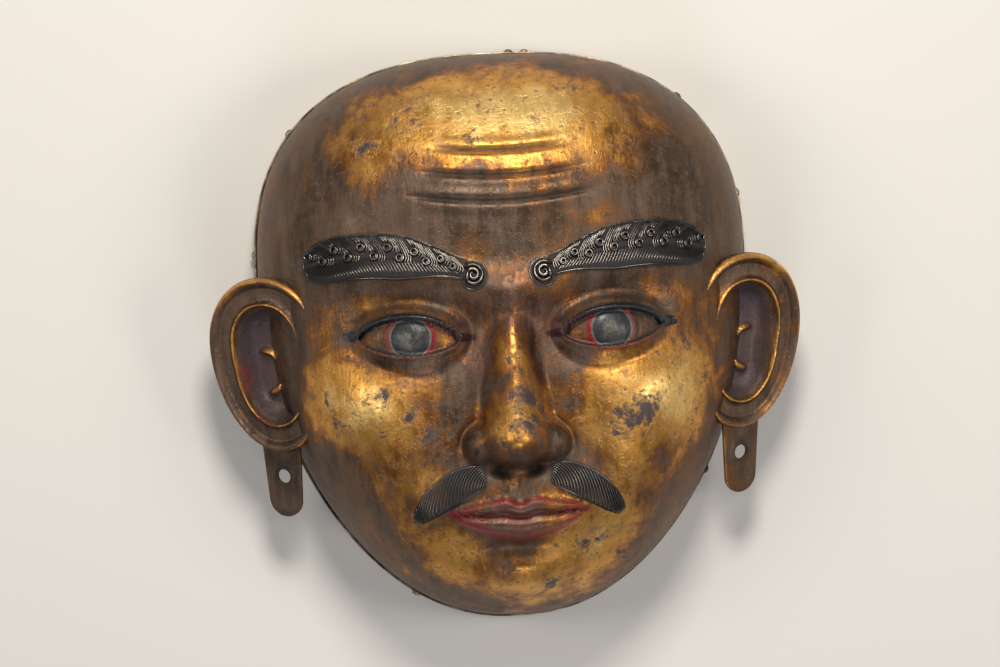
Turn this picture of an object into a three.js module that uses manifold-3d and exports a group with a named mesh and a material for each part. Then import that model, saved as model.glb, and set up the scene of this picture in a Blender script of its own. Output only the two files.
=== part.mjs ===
// A hollow bronze wall mask: the front of a bald head with curled brows, moustache tufts and long pierced ears.
// It lies on its back edge with the face up. Millimetres, +Z out of the face, +Y towards the crown, +X to the
// mask's own left. The origin is the middle of the outline, on the plane of the back edge.
import * as THREE from "three";
import { mergeVertices } from "three/addons/utils/BufferGeometryUtils.js";
import Module from "manifold-3d";

const wasm = await Module();
wasm.setup();

// Driving dimensions of the head
const headWidth = 330;
const headHeight = 380;
const headDepth = 126; // back edge to the level that the face is carved on
const skirtHeight = 16; // straight wall above the back edge
const wallThickness = 2;

// Edge band, riveted round the skirt
const bandHeight = 12; // level of its upper edge
const bandFoot = 1.5; // level of its lower edge, clear of the ground
const bandThickness = 2;
const fitGap = 0.3; // between any two pieces
const sliver = 0.03; // edges shorter than this are merged away

// Rivets through band and skirt
const rivetAngles = [-46.5, 14, 40.5, 80.5, 84.8, 145.5, 175, 250.5]; // degrees round the edge, from +X
const rivetLevel = 6.5;
const shankDiameter = 3.2;
const rivetHeadDiameter = 6.4;
const rivetHeadHeight = 2.2;
const tailDiameter = 5.4;
const tailHeight = 1.3;

// Ears, with a long lobe hanging behind the lower rim
const earHeight = 118;
const earReach = 43.5; // from the plate's middle to its outer rim
const earMiddle = 13; // the plate's middle, outwards from the root
const earCentreY = -11.5;
const earRootHeight = 67; // where the plate leaves the head, above the back edge
const earFlareDegrees = 28; // how far the plate turns back from the plane of the face
const earTiltDegrees = 10; // lower end backwards
const earLeanDegrees = 9; // top outwards
const earWall = 2.6;
const rimWidth = 7;
const rimRise = 4.5;
const foldDistance = 18; // from the outer edge to the inner fold
const foldWidth = 2.2;
const foldRise = 2.5;
const bowlDepth = 11;
const bowlSlope = 12; // from the fold to the bowl's floor
const ridgeLength = 14; // two short ridges in the bowl
const ridgeWidth = 4.4;
const ridgeRise = 3;
const lobeWidth = 31;
const lobeLength = 70;
const lobeMiddle = 10; // outwards from the root
const lobeHoleDiameter = 9.5;

// Hair, raised on the sheet
const browRise = 4;
const browHalfWidth = 14.5;
const browLocks = 13;
const moustacheRise = 3;
const moustacheHalfWidth = 8.5;
const volutePitch = 8.5; // radius of the curl at the brow's inner end
const stripEnd = 2; // rounding of the ends

// Mesh density
const aroundHead = 80;
const outerRings = 32;
const innerRings = 13;
const shellTolerance = 0.25; // flat facets within this are joined

// The face is carved on a canon: a head 330 parts wide and 380 parts high, an eye 66 parts wide, and the eyes
// on the middle line. All forms below are given in these parts.
const canonWidth = 330;
const canonHeight = 380;
const partX = headWidth / canonWidth;
const partY = headHeight / canonHeight;

const midLine = 48; // parts above the middle, where the head is widest
const crownPower = 2.5; // outline above that line
const jawPower = 2.3; // and below it
const jawTaper = 0.15;
const crownRound = 2.45;
const jawRound = 4.2;
const domeRound = 2.2; // higher is boxier in side view
const blendWidth = 0.12; // share of the dome over which the carving fades out above the skirt

const clamp = (t) => Math.min(Math.max(t, 0), 1);
const ease = (t) => clamp(t) ** 2 * (3 - 2 * clamp(t));
const bell = (d, width) => Math.exp(-((d / width) ** 2));
const bump = (x, y, cx, cy, sx, sy) => bell(x - cx, sx) * bell(y - cy, sy);

function ball(x, y, cx, cy, rx, ry) {
  const inside = 1 - ((x - cx) / rx) ** 2 - ((y - cy) / ry) ** 2;
  return inside > 0 ? Math.sqrt(inside) : inside;
}

function smoothMax(a, b, k) {
  const h = clamp(0.5 + (0.5 * (a - b)) / k);
  return b + (a - b) * h + k * h * (1 - h);
}

// Outline of the head, in parts
const taperAt = (y) =>
  1 - jawTaper * clamp((midLine - y) / (canonHeight / 2 + midLine)) ** 2;
const reachY = (above) => canonHeight / 2 + (above ? -midLine : midLine);

function rimRadius(theta) {
  const above = Math.sin(theta) >= 0;
  const power = above ? crownPower : jawPower;
  const acrossShare = Math.abs(Math.cos(theta) / (canonWidth / 2));
  const upShare = Math.abs(Math.sin(theta) / reachY(above));
  return (acrossShare ** power + upShare ** power) ** (-1 / power);
}

const domePower = (theta) =>
  crownRound +
  (jawRound - crownRound) * Math.max(-Math.sin(theta), 0) ** 2;

// Broad forms: forehead, brow ridge, sockets, cheeks, muzzle and chin
function broadForms(x, y) {
  const side = Math.abs(x);
  let rise = 6 * bump(x, y, 0, 95, 80, 52);
  rise += 6.5 * bell(y - browLine(side) + 4, 14) * ease((140 - side) / 50);
  rise += 3 * bump(x, y, 0, 30, 18, 14);
  rise -= 5 * bump(side, y, 142, 10, 24, 44);
  rise -= 11 * bump(side, y, 56, 3, 30, 19);
  rise -= 5 * bump(side, y, 31, 6, 12, 16);
  rise += 8 * bump(side, y, 92, -44, 36, 27);
  rise += 7 * bump(side, y, 66, -82, 32, 34);
  rise += 15 * bump(x, y, 0, -113, 54, 32);
  rise -= 3.5 * bump(side, y, 52, -96, 12, 22);
  rise += 13 * bump(x, y, 0, -160, 36, 20);
  rise -= 6.5 * bump(x, y, 0, -139, 34, 8);
  return rise;
}

function browLine(side) {
  const along = Math.min(Math.max((side - 24) / 112, -0.2), 1.1);
  return 35 + 15 * Math.sin(along * Math.PI * 0.74) - (4 * (side - 24)) / 112;
}

function noseForm(x, y, ground) {
  const side = Math.abs(x);
  const down = Math.min(clamp((32 - y) / 98) + Math.max(0, (-66 - y) / 98), 1.4);
  const ridge = 8 + 26 * down ** 1.15 - 2.5 * bell(down - 0.2, 0.13);
  const halfWidth = 18 + 15 * ease(down);
  const section = Math.max(1 - (side / halfWidth) ** 2, 0) ** 1.15;
  const ends = ease((y + 94) / 26) * ease((66 - y) / 44);
  let rise = smoothMax(ground, -16 + (ridge + 14) * section * ends, 7);
  rise = smoothMax(rise, 8 + 25 * ball(x, y, 0, -67, 23, 20), 14);
  rise = smoothMax(rise, -2 + 20 * ball(side, y, 21.5, -71, 15, 14.5), 6);
  rise -= 8 * bump(side, y, 10.5, -86, 6, 4);
  rise -= 2.2 * bump(x, y, 0, -98, 4.2, 9);
  return rise + bump(side, y, 7.5, -98, 3, 9);
}

const eyeBall = (side, y) => -14 + 18.5 * ball(side, y, 66, 0, 40, 27);

// Lids over the ball, with the ball bare between them and the iris raised on it
function eyeForm(x, y, ground) {
  const side = Math.abs(x);
  const s = (side - 66) / 33;
  const closing = Math.max(1 - Math.abs(s) ** 2.1, 0);
  const upper = 12.5 * closing ** 0.75 + 1.8 * s;
  const lower = -10.5 * closing ** 0.8 + 1.8 * s;
  const lids = smoothMax(ground, -13 + 22.5 * ball(side, y, 66, 0, 43, 30), 3);
  const ridges =
    2.6 * bell(y - upper - 1.8, 2.4) * ease((1.22 - Math.abs(s)) / 0.2) +
    1.4 * bell(y - lower + 1.4, 2) * ease((1.02 - Math.abs(s)) / 0.1);
  const open = Math.abs(s) < 1 ? ease((Math.min(upper - y, y - lower) + 0.7) / 1.4) : 0;
  const iris = Math.hypot(side - 65, y - 0.3) / 13.5;
  const bare = eyeBall(side, y) + 1.8 * Math.max(1 - iris ** 2, 0) ** 0.6;
  return (lids + ridges) * (1 - open) + bare * open;
}

function lipForm(x, y) {
  const side = Math.abs(x);
  const line = -117 + 2.4 * (side / 50) ** 2 - 1.4 * bell(x, 7.5);
  const top = line + 12.5 * Math.max(1 - (side / 50) ** 1.8, 0);
  const bottom = line - 17 * Math.max(1 - (side / 46) ** 2, 0) ** 0.9;
  if (y > top || y < bottom) return 0;
  const above = y >= line;
  const share = above ? (y - line) / (top - line) : (line - y) / (line - bottom);
  const fade = ease(((above ? 50 : 46) - side) / 14);
  return (above ? 5.5 : 7.5) * Math.sin(Math.PI * share) ** 0.7 * fade;
}

// Height of the carving over the dome, in parts
const relief = (x, y) =>
  eyeForm(x, y, noseForm(x, y, broadForms(x, y))) + lipForm(x, y);

// Lowest carving within reach of a point: the inside follows it, so that no crease cuts through the wall
function lowestRelief(x, y) {
  let lowest = relief(x, y);
  for (const reach of [2.5, 5]) {
    for (let k = 0; k < 8; k++) {
      const angle = (Math.PI / 4) * k;
      const near = relief(x + reach * Math.cos(angle), y + reach * Math.sin(angle));
      lowest = Math.min(lowest, near);
    }
  }
  return lowest;
}

// A point of the face, in millimetres: theta goes round, share from the middle (0) to the skirt (1)
function facePoint(theta, share, carving = relief) {
  const radius = share * rimRadius(theta);
  const y = midLine + radius * Math.sin(theta);
  const x = radius * Math.cos(theta) * taperAt(y);
  const dome = Math.max(1 - share ** domePower(theta), 0) ** (1 / domeRound);
  const carved = carving(x, y) * ease((1 - share) / blendWidth);
  const z = skirtHeight + (headDepth - skirtHeight) * dome + carved * partY;
  return new THREE.Vector3(x * partX, y * partY, z);
}

// Height of the face over a point of the plan, both in millimetres
function faceHeight(xMm, yMm) {
  const y = yMm / partY;
  const x = xMm / partX / taperAt(y);
  const theta = Math.atan2(y - midLine, x);
  const share = Math.hypot(x, y - midLine) / rimRadius(theta);
  return facePoint(theta, Math.min(share, 1)).z;
}

// The uncarved dome's direction outwards
function domeNormal(theta, share) {
  const step = 0.01;
  const plain = (t, s) => facePoint(t, s, () => 0);
  const across = plain(theta + step, share).sub(plain(theta - step, share));
  const outwards = plain(theta, Math.min(share + step / 4, 1)).sub(
    plain(theta, Math.max(share - step / 4, 0)),
  );
  return outwards.cross(across).normalize();
}

// The face moved along the dome's normals, inwards when the distance is negative
function shiftedFace(theta, share, distance, carving) {
  if (share >= 1) return edgePoint(theta, distance, skirtHeight);
  return facePoint(theta, share, carving).addScaledVector(
    domeNormal(theta, share),
    distance,
  );
}

function edgeNormal(theta) {
  const step = 0.01;
  const along = facePoint(theta + step, 1).sub(
    facePoint(theta - step, 1),
  );
  return new THREE.Vector3(along.y, -along.x, 0).normalize();
}

// A point of the head's outline, moved outwards by distance, at height z
function edgePoint(theta, distance, z) {
  return facePoint(theta, 1)
    .addScaledVector(edgeNormal(theta), distance)
    .setZ(z);
}

// A closed body from rings of equal length, each ring counter-clockwise seen from the front. It ends in a pole
// at each end, or joins its last ring to its first.
function bodyOfRings(rings, { poles = null } = {}) {
  const count = rings[0].length;
  const position = rings.flat().flatMap((p) => [p.x, p.y, p.z]);
  const index = [];
  const last = poles ? rings.length - 1 : rings.length;
  for (let i = 0; i < last; i++) {
    const here = i * count;
    const next = ((i + 1) % rings.length) * count;
    for (let j = 0; j < count; j++) {
      const k = (j + 1) % count;
      index.push(here + j, next + j, next + k, here + j, next + k, here + k);
    }
  }
  if (poles) {
    poles.forEach((p) => position.push(p.x, p.y, p.z));
    const first = rings.length * count;
    const end = (rings.length - 1) * count;
    for (let j = 0; j < count; j++) {
      const k = (j + 1) % count;
      index.push(first, j, k, first + 1, end + k, end + j);
    }
  }
  const body = new THREE.BufferGeometry();
  body.setAttribute("position", new THREE.Float32BufferAttribute(position, 3));
  body.setIndex(index);
  return body;
}

function solidOf(geometry) {
  const plain = geometry.clone();
  plain.deleteAttribute("normal");
  plain.deleteAttribute("uv");
  const merged = mergeVertices(plain, 1e-4);
  return new wasm.Manifold(
    new wasm.Mesh({
      numProp: 3,
      vertProperties: merged.attributes.position.array,
      triVerts: new Uint32Array(merged.index.array),
    }),
  );
}

function geometryOf(solid, tolerance = sliver) {
  const mesh = solid.asOriginal().simplify(tolerance).getMesh();
  const geometry = new THREE.BufferGeometry();
  geometry.setAttribute(
    "position",
    new THREE.BufferAttribute(new Float32Array(mesh.vertProperties), 3),
  );
  geometry.setIndex(new THREE.BufferAttribute(new Uint32Array(mesh.triVerts), 1));
  geometry.computeVertexNormals();
  return geometry;
}

const turns = Array.from(
  { length: aroundHead },
  (_, j) => (2 * Math.PI * j) / aroundHead,
);
const ringOf = (place) => turns.map(place);

// Shares of the rings: even over the face, then closing up where the dome turns down into the skirt
const ringShares = (count) => {
  const turned = Math.round(count * 0.26);
  const flat = count - turned;
  const even = Array.from({ length: flat }, (_, i) => (0.86 * (i + 1)) / flat);
  const closing = Array.from(
    { length: turned },
    (_, i) => 1 - 0.14 * (1 - (i + 1) / turned) ** 2,
  );
  return [...even, ...closing];
};

function shellGeometry() {
  const outside = ringShares(outerRings).map((share) =>
    ringOf((t) => facePoint(t, share)),
  );
  const inside = ringShares(innerRings)
    .map((share) => ringOf((t) => shiftedFace(t, share, -wallThickness, lowestRelief)))
    .reverse();
  const backEdge = [0, -wallThickness].map((distance) =>
    ringOf((t) => edgePoint(t, distance, 0)),
  );
  const innerPole = facePoint(0, 0, lowestRelief);
  innerPole.z -= wallThickness;
  return bodyOfRings([...outside, ...backEdge, ...inside], {
    poles: [facePoint(0, 0), innerPole],
  });
}

// The head as a filled block, grown by the fitting gap: it trims what stands against the shell
function headBlock() {
  const outside = ringShares(outerRings).map((share) =>
    ringOf((t) => shiftedFace(t, share, fitGap, relief)),
  );
  const below = ringOf((t) => edgePoint(t, fitGap, -fitGap));
  const top = facePoint(0, 0);
  top.z += fitGap;
  return bodyOfRings([...outside, below], {
    poles: [top, new THREE.Vector3(0, 0, -fitGap)],
  });
}

function bandGeometry() {
  const inner = fitGap;
  const outer = fitGap + bandThickness;
  const corners = [
    [inner, bandHeight],
    [outer, bandHeight],
    [outer, bandFoot],
    [inner, bandFoot],
  ];
  return bodyOfRings(
    corners.map(([distance, z]) => ringOf((t) => edgePoint(t, distance, z))),
  );
}

// A rivet along +Y, with y = 0 on the skirt's inner face
function rivetGeometry() {
  const seat = wallThickness + 2 * fitGap + bandThickness;
  const profile = [
    [0, -fitGap - tailHeight],
    [tailDiameter / 2, -fitGap - tailHeight],
    [tailDiameter / 2, -fitGap],
    [shankDiameter / 2, -fitGap],
    [shankDiameter / 2, seat],
    [rivetHeadDiameter / 2, seat],
    [rivetHeadDiameter / 3, seat + rivetHeadHeight * 0.75],
    [0, seat + rivetHeadHeight],
  ].map(([r, y]) => new THREE.Vector2(r, y));
  return new THREE.LatheGeometry(profile, 8);
}

function rivetMatrix(degrees) {
  const theta = THREE.MathUtils.degToRad(degrees);
  const start = edgePoint(theta, -wallThickness, rivetLevel);
  const turn = new THREE.Quaternion().setFromUnitVectors(
    new THREE.Vector3(0, 1, 0),
    edgeNormal(theta),
  );
  return new THREE.Matrix4().compose(start, turn, new THREE.Vector3(1, 1, 1));
}

function rivetHoles() {
  const length = 4 * (wallThickness + bandThickness);
  const tool = new THREE.CylinderGeometry(
    shankDiameter / 2 + fitGap,
    shankDiameter / 2 + fitGap,
    length,
    8,
  );
  return rivetAngles
    .map((a) => solidOf(tool.clone().applyMatrix4(rivetMatrix(a))))
    .reduce((all, hole) => all.add(hole));
}

// A raised strip of hair on the face. centre(u) gives its middle line in parts and halfWidth(u) its half width;
// rise(u, v) is its height for u along and v across, each ring going over the top and back under the surface.
function hairStrip(centre, halfWidth, rise, steps, mirror) {
  const across = [-1, -0.55, 0, 0.55, 1];
  const sunk = 1.2; // parts under the surface, so that the strip joins the sheet
  const rings = [];
  for (let i = 0; i <= steps; i++) {
    const u = i / steps;
    const [cx, cy] = centre(u);
    const [ax, ay] = centre(Math.min(u + 0.01, 1));
    const [bx, by] = centre(Math.max(u - 0.01, 0));
    const length = Math.hypot(ax - bx, ay - by);
    const place = (v, height) => {
      const x = cx - (v * halfWidth(u) * (ay - by)) / length;
      const y = cy + (v * halfWidth(u) * (ax - bx)) / length;
      const sideX = mirror * x * partX;
      return new THREE.Vector3(
        sideX,
        y * partY,
        faceHeight(sideX, y * partY) + height * partY,
      );
    };
    const over = across.map((v) => place(v, rise(u, v)));
    const under = [...across].reverse().map((v) => place(v, -sunk));
    rings.push([...over, ...under]);
  }
  const middle = (ring) =>
    ring
      .reduce((sum, p) => sum.add(p), new THREE.Vector3())
      .divideScalar(ring.length);
  const tip = (ring, next) => {
    const end = middle(ring);
    const beyond = end.clone().sub(middle(next)).normalize();
    return end.addScaledVector(beyond, stripEnd).setZ(end.z - stripEnd);
  };
  const ordered = mirror > 0 ? rings : rings.reverse();
  return bodyOfRings(ordered, {
    poles: [
      tip(ordered[0], ordered[1]),
      tip(ordered.at(-1), ordered.at(-2)),
    ],
  });
}

// Brow: a band that arches over the eye, thickest over its outer third, cut into locks
function browStrip(mirror) {
  const centre = (u) => [28 + 104 * u, browLine(28 + 104 * u) + 7];
  const halfWidth = (u) =>
    browHalfWidth * (0.45 + 0.55 * ease(u / 0.45)) * Math.sqrt(1 - 0.75 * u ** 6);
  const lock = (u) => Math.abs((u * browLocks) % 1 - 0.5) * 2;
  const rise = (u, v) => browRise * (1 - 0.45 * v * v) - 1.4 * lock(u);
  return hairStrip(centre, halfWidth, rise, 2 * browLocks, mirror);
}

// Moustache: a tuft from under the wing of the nose, out and down past the corner of the mouth
function moustacheStrip(mirror) {
  const centre = (u) => [22 + 42 * u, -96 - 4 * u - 19 * u ** 2.2];
  const halfWidth = (u) =>
    moustacheHalfWidth * Math.sqrt(Math.max(1 - (2 * u - 0.9) ** 2 * 0.8, 0.04));
  const rise = (u, v) => moustacheRise * (1 - 0.4 * v * v) * (0.75 + 0.25 * ease(4 * u));
  return hairStrip(centre, halfWidth, rise, 10, mirror);
}

// The curl at the brow's inner end: a low disc with a raised turn on it
function voluteBody(mirror) {
  const [cx, cy] = [22, browLine(24) + 1];
  const profile = [
    [1, -1.2],
    [1, 2.4],
    [0.72, 3.6],
    [0.5, 2.2],
    [0.25, 3.4],
  ];
  const sides = 12;
  const rings = profile.map(([share, height]) =>
    Array.from({ length: sides }, (_, j) => {
      const angle = (2 * Math.PI * j) / sides;
      const x = mirror * (cx + volutePitch * share * Math.cos(angle)) * partX;
      const y = (cy + volutePitch * share * Math.sin(angle)) * partY;
      return new THREE.Vector3(x, y, faceHeight(x, y) + height * partY);
    }),
  );
  const level = (height) =>
    new THREE.Vector3(
      mirror * cx * partX,
      cy * partY,
      faceHeight(cx * partX, cy * partY) + height * partY,
    );
  const ordered = mirror > 0 ? rings.reverse() : rings;
  const poles = mirror > 0 ? [level(3.6), level(-1.2)] : [level(-1.2), level(3.6)];
  return bodyOfRings(ordered, { poles });
}

// Ear plate and lobe are drawn in the ear's own frame: a outwards, b up, c forwards
const earHalf = earHeight / 2;

function earRadius(psi) {
  return (
    (Math.abs(Math.cos(psi) / earReach) ** 2.1 +
      Math.abs(Math.sin(psi) / earHalf) ** 2.1) **
    (-1 / 2.1)
  );
}

function earRelief(distance) {
  const roll = Math.min(distance / rimWidth, 1);
  let rise = rimRise * Math.sin(Math.PI * roll ** 0.8);
  rise += foldRise * bell(distance - foldDistance, foldWidth);
  return rise - bowlDepth * ease((distance - foldDistance) / bowlSlope);
}

const earBackRelief = (distance) =>
  -bowlDepth * ease((distance - foldDistance + earWall) / bowlSlope) - earWall;

function earPoint(psi, share, back) {
  const radius = earRadius(psi);
  const distance = (1 - share) * radius;
  const b = share * radius * Math.sin(psi);
  const a = earMiddle + share * radius * Math.cos(psi) * (1 + (0.12 * b) / earHalf);
  const c = back ? earBackRelief(distance) : earRelief(distance);
  return new THREE.Vector3(a, b, c);
}

function earPlate() {
  const sides = 28;
  const ringAt = (share, back) =>
    Array.from({ length: sides }, (_, j) =>
      earPoint((2 * Math.PI * j) / sides, share, back),
    );
  const front = [0.3, 0.42, 0.52, 0.6, 0.66, 0.72, 0.85, 0.92, 0.97, 1];
  const rear = [1, 0.8, 0.68, 0.56, 0.46, 0.34];
  return bodyOfRings(
    [
      ...front.map((share) => ringAt(share, false)),
      ...rear.map((share) => ringAt(share, true)),
    ],
    { poles: [earPoint(0, 0, false), earPoint(0, 0, true)] },
  );
}

// The lobe: a flat tongue with round ends behind the lower rim, with a hole for a pendant
const lobeTop = -earHalf * 0.62;
const lobeBottom = lobeTop - lobeLength;
const lobeFront = -0.45 * earWall; // at its top, behind the plate's front
const lobeTilt = 3; // degrees backwards
const holeB = lobeBottom + lobeLength * 0.4;

function lobeSolid() {
  const outline = new THREE.Shape();
  const half = lobeWidth / 2;
  const toe = half * 0.8;
  outline.moveTo(lobeMiddle - half, lobeTop);
  outline.lineTo(lobeMiddle - toe, lobeBottom + toe);
  outline.absarc(lobeMiddle, lobeBottom + toe, toe, Math.PI, 2 * Math.PI, false);
  outline.lineTo(lobeMiddle + half, lobeTop);
  const bevel = earWall / 4;
  const tongue = new THREE.ExtrudeGeometry(outline, {
    depth: earWall - 2 * bevel,
    bevelSize: bevel,
    bevelThickness: bevel,
    bevelOffset: -bevel,
    bevelSegments: 1,
    curveSegments: 10,
  }).translate(0, 0, lobeFront - earWall + bevel);
  const hole = new THREE.CylinderGeometry(
    lobeHoleDiameter / 2,
    lobeHoleDiameter / 2,
    4 * earWall,
    12,
  )
    .rotateX(Math.PI / 2)
    .translate(lobeMiddle, holeB, lobeFront);
  const hang = new THREE.Matrix4()
    .makeTranslation(0, lobeTop, 0)
    .multiply(new THREE.Matrix4().makeRotationX(THREE.MathUtils.degToRad(lobeTilt)))
    .multiply(new THREE.Matrix4().makeTranslation(0, -lobeTop, 0));
  const pierced = geometryOf(solidOf(tongue).subtract(solidOf(hole)));
  return solidOf(pierced.applyMatrix4(hang));
}

// Two short ridges in the bowl, near the head
function earRidges() {
  return [0.12, -0.3].map((share) =>
    solidOf(
      new THREE.SphereGeometry(1, 8, 6)
        .scale(ridgeLength / 2, ridgeWidth / 2, ridgeRise)
        .rotateZ(share > 0 ? 0.6 : -0.5)
        .translate(earMiddle * 1.25, earHalf * share, -bowlDepth),
    ),
  );
}

// Where the ear's plane meets the side of the head: a point of the outline band at the stated height
function earRootX() {
  const step = partX / 2;
  let x = 0;
  while (faceHeight(x + step, earCentreY) > earRootHeight && x < headWidth / 2) {
    x += step;
  }
  return x;
}

function earMatrix(lean) {
  const flare = THREE.MathUtils.degToRad(earFlareDegrees);
  const tilt = THREE.MathUtils.degToRad(earTiltDegrees);
  const turn = THREE.MathUtils.degToRad(lean);
  return new THREE.Matrix4()
    .makeTranslation(earRootX(), earCentreY, earRootHeight)
    .multiply(new THREE.Matrix4().makeRotationX(tilt))
    .multiply(new THREE.Matrix4().makeRotationY(flare))
    .multiply(new THREE.Matrix4().makeRotationZ(-turn));
}

function earGeometry(mirror, block) {
  const toSolid = (geometry) => solidOf(geometry.applyMatrix4(earMatrix(earLeanDegrees)));
  const plate = earRidges()
    .map((ridge) => toSolid(geometryOf(ridge)))
    .reduce((all, ridge) => all.add(ridge), toSolid(earPlate()));
  const lobe = solidOf(geometryOf(lobeSolid()).applyMatrix4(earMatrix(0)));
  const whole = geometryOf(plate.add(lobe).subtract(block));
  if (mirror > 0) return whole;
  whole.scale(-1, 1, 1);
  const index = whole.index.array;
  for (let i = 0; i < index.length; i += 3) {
    [index[i + 1], index[i + 2]] = [index[i + 2], index[i + 1]];
  }
  whole.computeVertexNormals();
  return whole;
}

const gildedBronze = new THREE.MeshStandardMaterial({
  color: 0x8a6436,
  metalness: 0.8,
  roughness: 0.42,
});
const wornBronze = new THREE.MeshStandardMaterial({
  color: 0x5b4634,
  metalness: 0.8,
  roughness: 0.55,
});

const mask = new THREE.Group();

function place(name, geometry, material) {
  const mesh = new THREE.Mesh(geometry, material);
  mesh.name = name;
  mask.add(mesh);
  return mesh;
}

const holes = rivetHoles();
const hair = [1, -1].flatMap((mirror) => [
  solidOf(browStrip(mirror)),
  solidOf(moustacheStrip(mirror)),
  solidOf(voluteBody(mirror)),
]);
const shell = hair
  .reduce((all, tuft) => all.add(tuft), solidOf(shellGeometry()))
  .subtract(holes);
place("mask_shell", geometryOf(shell, shellTolerance), gildedBronze);
place(
  "edge_band",
  geometryOf(solidOf(bandGeometry()).subtract(holes)),
  wornBronze,
);

const block = solidOf(headBlock());
place("left_ear", earGeometry(1, block), gildedBronze);
place("right_ear", earGeometry(-1, block), gildedBronze);

rivetAngles.forEach((angle, i) => {
  place(`rivet_${i + 1}`, rivetGeometry().applyMatrix4(rivetMatrix(angle)), wornBronze);
});

// The rivets at the crown stand out further than the chin: the origin goes to the middle of the whole
const overall = new THREE.Box3().setFromObject(mask).getCenter(new THREE.Vector3());
mask.children.forEach((piece) => piece.geometry.translate(0, -overall.y, 0));

export default mask;
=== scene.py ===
import math

import bpy
import numpy as np
from mathutils import Matrix, Vector


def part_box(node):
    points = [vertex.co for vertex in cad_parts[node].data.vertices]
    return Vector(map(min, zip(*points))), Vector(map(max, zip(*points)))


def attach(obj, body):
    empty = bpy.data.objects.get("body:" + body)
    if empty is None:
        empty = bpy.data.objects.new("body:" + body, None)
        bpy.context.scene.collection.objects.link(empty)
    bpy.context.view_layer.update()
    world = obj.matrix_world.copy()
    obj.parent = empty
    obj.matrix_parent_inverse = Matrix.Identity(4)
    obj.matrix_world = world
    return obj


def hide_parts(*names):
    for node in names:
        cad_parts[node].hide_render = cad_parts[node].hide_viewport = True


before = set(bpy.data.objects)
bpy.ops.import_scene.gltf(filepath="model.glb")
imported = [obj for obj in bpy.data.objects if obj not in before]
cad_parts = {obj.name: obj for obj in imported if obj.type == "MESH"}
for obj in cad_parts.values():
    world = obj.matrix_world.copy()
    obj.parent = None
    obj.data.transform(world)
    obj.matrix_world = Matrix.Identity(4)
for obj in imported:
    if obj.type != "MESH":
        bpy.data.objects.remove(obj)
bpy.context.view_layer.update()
print("frame loaded")

shellLow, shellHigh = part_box("mask_shell")
headParts = {"width": 330.0, "height": 380.0}  # the canon that every form below is given in
part = (shellHigh.x - shellLow.x) / headParts["width"]  # metres in one part
middleY = (shellLow.y + shellHigh.y) / 2

head = {
    "skirt": 16.0,  # straight wall above the back edge
    "depth": 110.0,  # from the skirt to the level that the face is carved on
    "midLine": 48.0,  # widest level, above the middle
    "crownPower": 2.5,
    "jawPower": 2.3,
    "jawTaper": 0.15,
    "crownRound": 2.45,
    "jawRound": 4.2,
    "domeRound": 2.2,
    "blend": 0.12,
    "wall": 2.0,
    "innerGap": 1.2,  # further drop of the smooth inside
    "around": 600,
    "rings": 122,
    "innerRings": 26,
}


def clamp(t):
    return np.clip(t, 0, 1)


def ease(t):
    return clamp(t) ** 2 * (3 - 2 * clamp(t))


def bell(d, width):
    return np.exp(-((d / width) ** 2))


def bump(x, y, cx, cy, sx, sy):
    return bell(x - cx, sx) * bell(y - cy, sy)


def ball(x, y, cx, cy, rx, ry):
    inside = 1 - ((x - cx) / rx) ** 2 - ((y - cy) / ry) ** 2
    return np.where(inside > 0, np.sqrt(np.maximum(inside, 0)), inside)


def smoothMax(a, b, k):
    h = clamp(0.5 + 0.5 * (a - b) / k)
    return b + (a - b) * h + k * h * (1 - h)


def taperAt(y):
    down = clamp((head["midLine"] - y) / (headParts["height"] / 2 + head["midLine"]))
    return 1 - head["jawTaper"] * down**2


def rimRadius(theta):
    above = np.sin(theta) >= 0
    power = np.where(above, head["crownPower"], head["jawPower"])
    reach = headParts["height"] / 2 + np.where(above, -head["midLine"], head["midLine"])
    across = np.abs(np.cos(theta) / (headParts["width"] / 2))
    up = np.abs(np.sin(theta) / reach)
    return (across**power + up**power) ** (-1 / power)


def domePower(theta):
    low = np.maximum(-np.sin(theta), 0) ** 2
    return head["crownRound"] + (head["jawRound"] - head["crownRound"]) * low


# Brow: its middle line, half width and a point on it, u from the inner end to the outer, v from below up
brow = {
    "start": 28.0,
    "length": 104.0,
    "halfWidth": 14.5,
    "lift": 7.0,
    "rise": 1.8,
    "archFrom": 24.0,  # the arch that it follows
    "archReach": 112.0,
    "archHeight": 35.0,
    "archBow": 15.0,
    "archDrop": 4.0,
}


# A point at a distance square to a middle line
def beside(x, y, slope, distance):
    length = np.hypot(1, slope)
    return x - distance * slope / length, y + distance / length


def browLine(side):
    along = (side - brow["archFrom"]) / brow["archReach"]
    bow = brow["archBow"] * np.sin(np.clip(along, -0.2, 1.1) * np.pi * 0.74)
    return brow["archHeight"] + bow - brow["archDrop"] * along


def browHalf(u):
    u = clamp(u)
    return brow["halfWidth"] * (0.45 + 0.55 * ease(u / 0.45)) * np.sqrt(1 - 0.95 * u**15)


def browPoint(u, v):
    x = brow["start"] + brow["length"] * u
    slope = browLine(x + 0.5) - browLine(x - 0.5)
    return beside(x, browLine(x) + brow["lift"], slope, v * browHalf(u))


def browCover(side, y):
    u = (side - brow["start"]) / brow["length"]
    off = np.abs(y - browLine(side) - brow["lift"]) / browHalf(u)
    ends = ease((u + 0.03) / 0.04) * ease((1.03 - u) / 0.05)
    return ends * ease((1.06 - off) / 0.12)


# Tuft of the moustache: u from the wing of the nose to the tip
tuft = {
    "start": 21.0,
    "reach": 47.0,
    "top": -90.5,
    "droop": 6.0,
    "bend": 23.0,
    "halfWidth": 9.8,
    "rise": 1.2,
}


def tuftMiddle(u):
    y = tuft["top"] - tuft["droop"] * u - tuft["bend"] * u**2
    return y, -(tuft["droop"] + 2 * tuft["bend"] * u) / tuft["reach"]


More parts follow.
